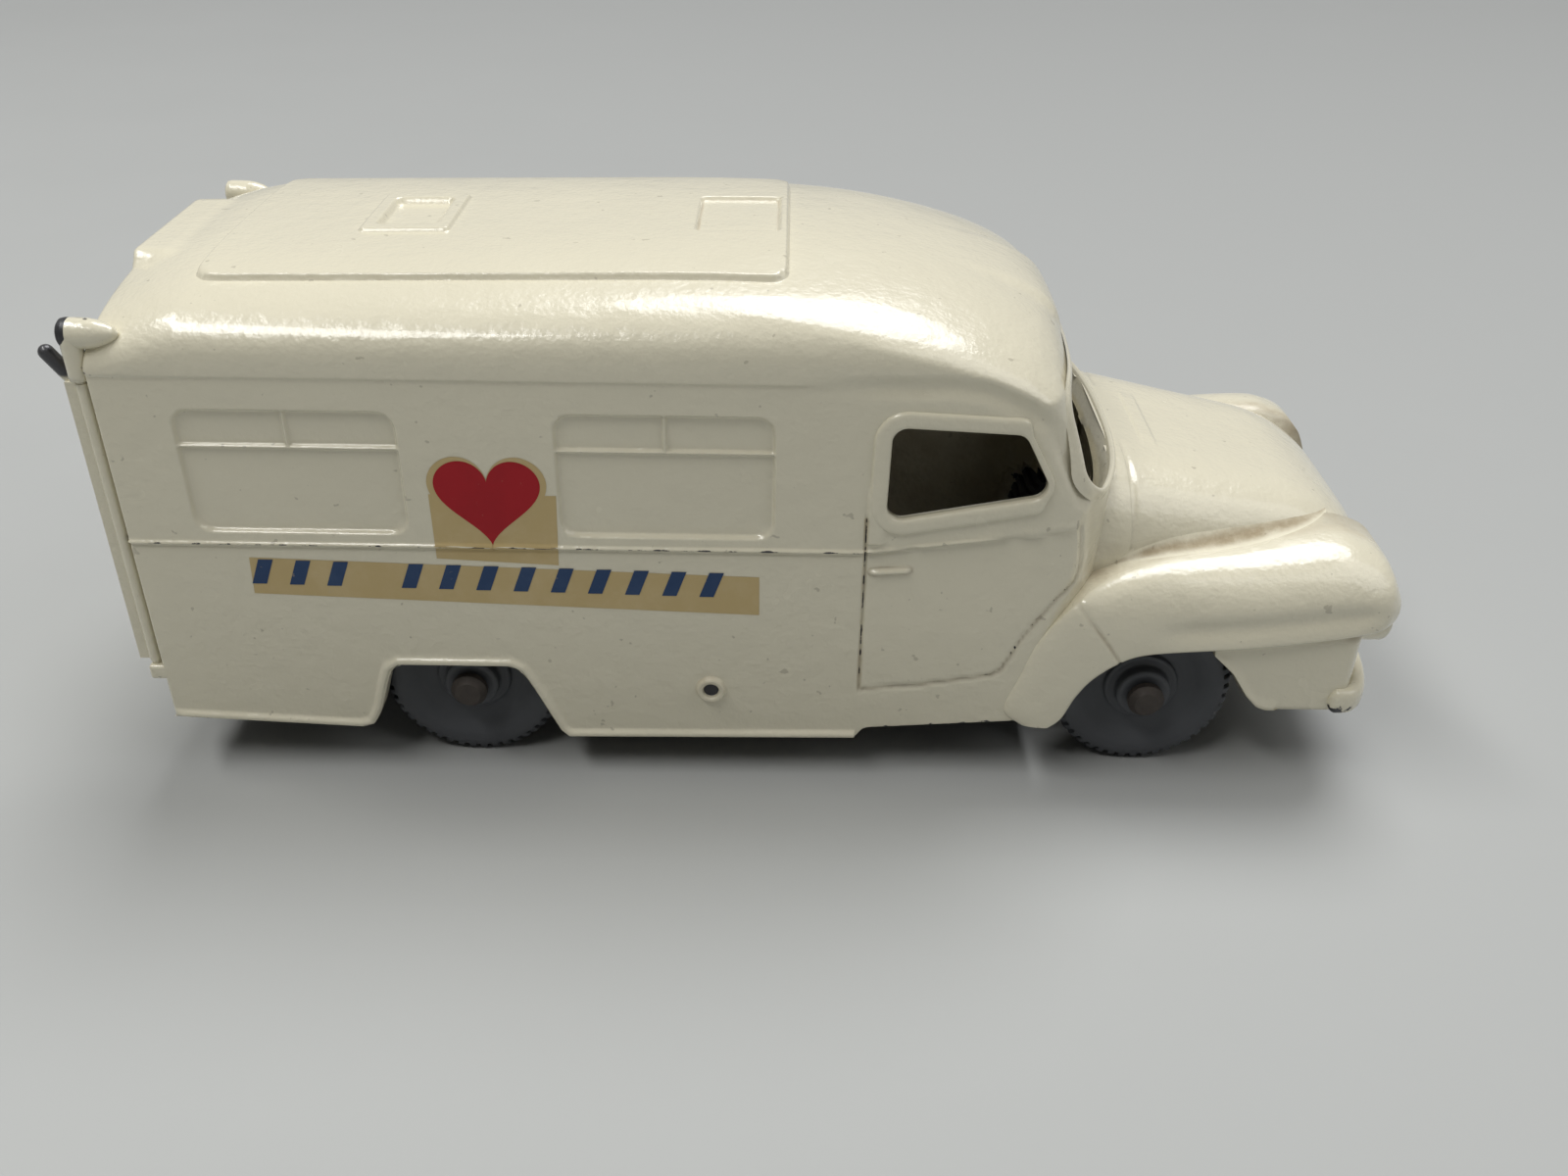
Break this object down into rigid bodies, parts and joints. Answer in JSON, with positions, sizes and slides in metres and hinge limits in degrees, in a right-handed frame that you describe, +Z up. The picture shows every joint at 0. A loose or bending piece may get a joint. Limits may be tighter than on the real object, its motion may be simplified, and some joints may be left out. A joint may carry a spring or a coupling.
{
  "type": "toy ambulance",
  "caption": "Pocket-size cast toy ambulance van with a domed roof, open cab windows, rounded hood and fenders, hinged rear doors and free-rolling wheels.",
  "frame": {"origin": "on the floor under the middle of the whole toy, where the wheels touch down", "axes": "+X forward, +Y to the vehicle's left, +Z up"},
  "size_m": [0.0686, 0.0254, 0.028],
  "materials": {
    "cream_paint": "gloss cream enamel over cast zinc, worn through at edges",
    "black_paint": "black enamel over pressed metal",
    "grey_plastic": "moulded dark grey plastic",
    "axle_steel": "dull plated steel wire"
  },
  "bodies": {
    "shell": {"body_casting": "cream_paint", "baseplate": "black_paint"},
    "door_right": {"rear_door_right": "cream_paint"},
    "door_left": {"rear_door_left": "cream_paint"},
    "axle_front": {"front_axle": "axle_steel"},
    "axle_rear": {"rear_axle": "axle_steel"},
    "wheel_front_right": {"front_wheel_right": "grey_plastic"},
    "wheel_front_left": {"front_wheel_left": "grey_plastic"},
    "wheel_rear_right": {"rear_wheel_right": "grey_plastic"},
    "wheel_rear_left": {"rear_wheel_left": "grey_plastic"}
  },
  "joints": [
    {"name": "door_right_hinge", "type": "hinge", "parent": "shell", "child": "door_right", "pos_m": [-0.03232, -0.01175, 0.0148], "axis": [0, 0, 1], "range_deg": [0, 95]},
    {"name": "door_left_hinge", "type": "hinge", "parent": "shell", "child": "door_left", "pos_m": [-0.03232, 0.01175, 0.0148], "axis": [0, 0, -1], "range_deg": [0, 95]},
    {"name": "axle_front_spin", "type": "hinge", "parent": "shell", "child": "axle_front", "pos_m": [0.02127, 0, 0.0049], "axis": [0, 1, 0], "continuous": true},
    {"name": "axle_rear_spin", "type": "hinge", "parent": "shell", "child": "axle_rear", "pos_m": [-0.01568, 0, 0.0049], "axis": [0, 1, 0], "continuous": true},
    {"name": "wheel_front_right_spin", "type": "hinge", "parent": "axle_front", "child": "wheel_front_right", "pos_m": [0.02127, -0.00915, 0.0049], "axis": [0, 1, 0], "continuous": true},
    {"name": "wheel_front_left_spin", "type": "hinge", "parent": "axle_front", "child": "wheel_front_left", "pos_m": [0.02127, 0.00915, 0.0049], "axis": [0, 1, 0], "continuous": true},
    {"name": "wheel_rear_right_spin", "type": "hinge", "parent": "axle_rear", "child": "wheel_rear_right", "pos_m": [-0.01568, -0.00915, 0.0049], "axis": [0, 1, 0], "continuous": true},
    {"name": "wheel_rear_left_spin", "type": "hinge", "parent": "axle_rear", "child": "wheel_rear_left", "pos_m": [-0.01568, 0.00915, 0.0049], "axis": [0, 1, 0], "continuous": true}
  ]
}
